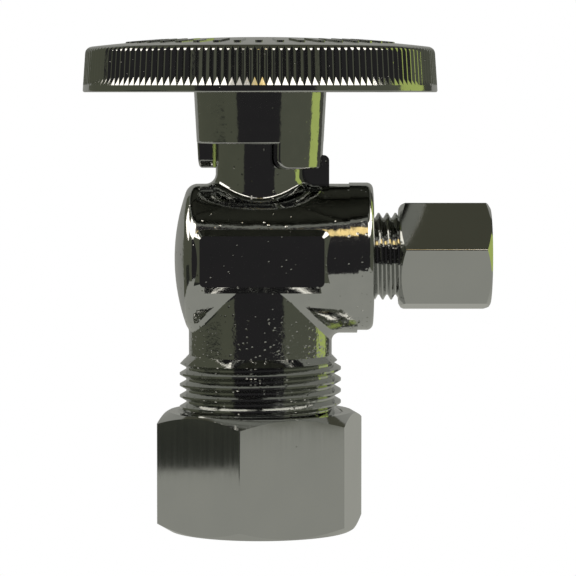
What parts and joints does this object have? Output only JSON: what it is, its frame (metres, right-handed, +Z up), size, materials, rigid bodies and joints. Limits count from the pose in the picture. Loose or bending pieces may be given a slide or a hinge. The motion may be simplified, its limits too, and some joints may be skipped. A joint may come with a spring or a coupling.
{
  "type": "angle stop valve",
  "caption": "Quarter-turn angle stop valve with a ribbed round handle, compression inlet below and smaller compression outlet to the side.",
  "frame": {"origin": "centre of the inlet nut's lower face, where the valve stands", "axes": "+Z up along the inlet, the stem and the handle's axis; +X out along the outlet"},
  "size_m": [0.0513, 0.0446, 0.0621],
  "materials": {
    "body_chrome": "polished chrome plate over forged brass",
    "handle_chrome": "polished chrome plate over die-cast zinc",
    "nut_chrome": "chrome plate over machined brass",
    "brass": "bare machined brass",
    "ball_chrome": "lapped hard chrome over brass",
    "seat_ptfe": "white PTFE",
    "seal_rubber": "black moulded rubber",
    "screw_steel": "zinc-plated steel"
  },
  "bodies": {
    "valve": {"valve_body": "body_chrome", "outlet_adapter": "nut_chrome", "adapter_o_ring": "seal_rubber", "outlet_seat": "seat_ptfe", "rear_seat": "seat_ptfe", "outlet_seat_o_ring": "seal_rubber", "rear_seat_o_ring": "seal_rubber"},
    "handle": {"handle": "handle_chrome", "handle_screw": "screw_steel", "handle_lock_washer": "screw_steel", "stem": "brass", "stem_thrust_washer": "seat_ptfe", "stem_upper_o_ring": "seal_rubber", "stem_lower_o_ring": "seal_rubber"},
    "ball": {"ball": "ball_chrome"},
    "inlet_sleeve": {"inlet_sleeve": "brass"},
    "inlet_nut": {"inlet_nut": "nut_chrome"},
    "outlet_sleeve": {"outlet_sleeve": "brass"},
    "outlet_nut": {"outlet_nut": "nut_chrome"}
  },
  "joints": [
    {"name": "handle_turn", "type": "hinge", "parent": "valve", "child": "handle", "pos_m": [0, 0, 0.05], "axis": [0, 0, 1], "range_deg": [-90, 0]},
    {"name": "ball_turn", "type": "hinge", "parent": "valve", "child": "ball", "pos_m": [0, 0, 0.03455], "axis": [0, 0, 1], "range_deg": [-90, 0]},
    {"name": "inlet_sleeve_slide", "type": "slide", "parent": "valve", "child": "inlet_sleeve", "axis": [0, 0, -1], "range_m": [0, 0.00566]},
    {"name": "inlet_nut_turn", "type": "hinge", "parent": "inlet_sleeve", "child": "inlet_nut", "pos_m": [0, 0, 0.0075], "axis": [0, 0, -1], "range_deg": [0, 1440]},
    {"name": "outlet_sleeve_slide", "type": "slide", "parent": "valve", "child": "outlet_sleeve", "axis": [1, 0, 0], "range_m": [0, 0.0053]},
    {"name": "outlet_nut_turn", "type": "hinge", "parent": "outlet_sleeve", "child": "outlet_nut", "pos_m": [0.023, 0, 0.03455], "axis": [1, 0, 0], "range_deg": [0, 1800]}
  ],
  "couplings": [
    {"joint": "ball_turn", "follows": "handle_turn", "ratio": 1},
    {"joint": "inlet_sleeve_slide", "follows": "inlet_nut_turn", "m_per_rad": 0.00022459},
    {"joint": "outlet_sleeve_slide", "follows": "outlet_nut_turn", "m_per_rad": 0.00016844}
  ]
}
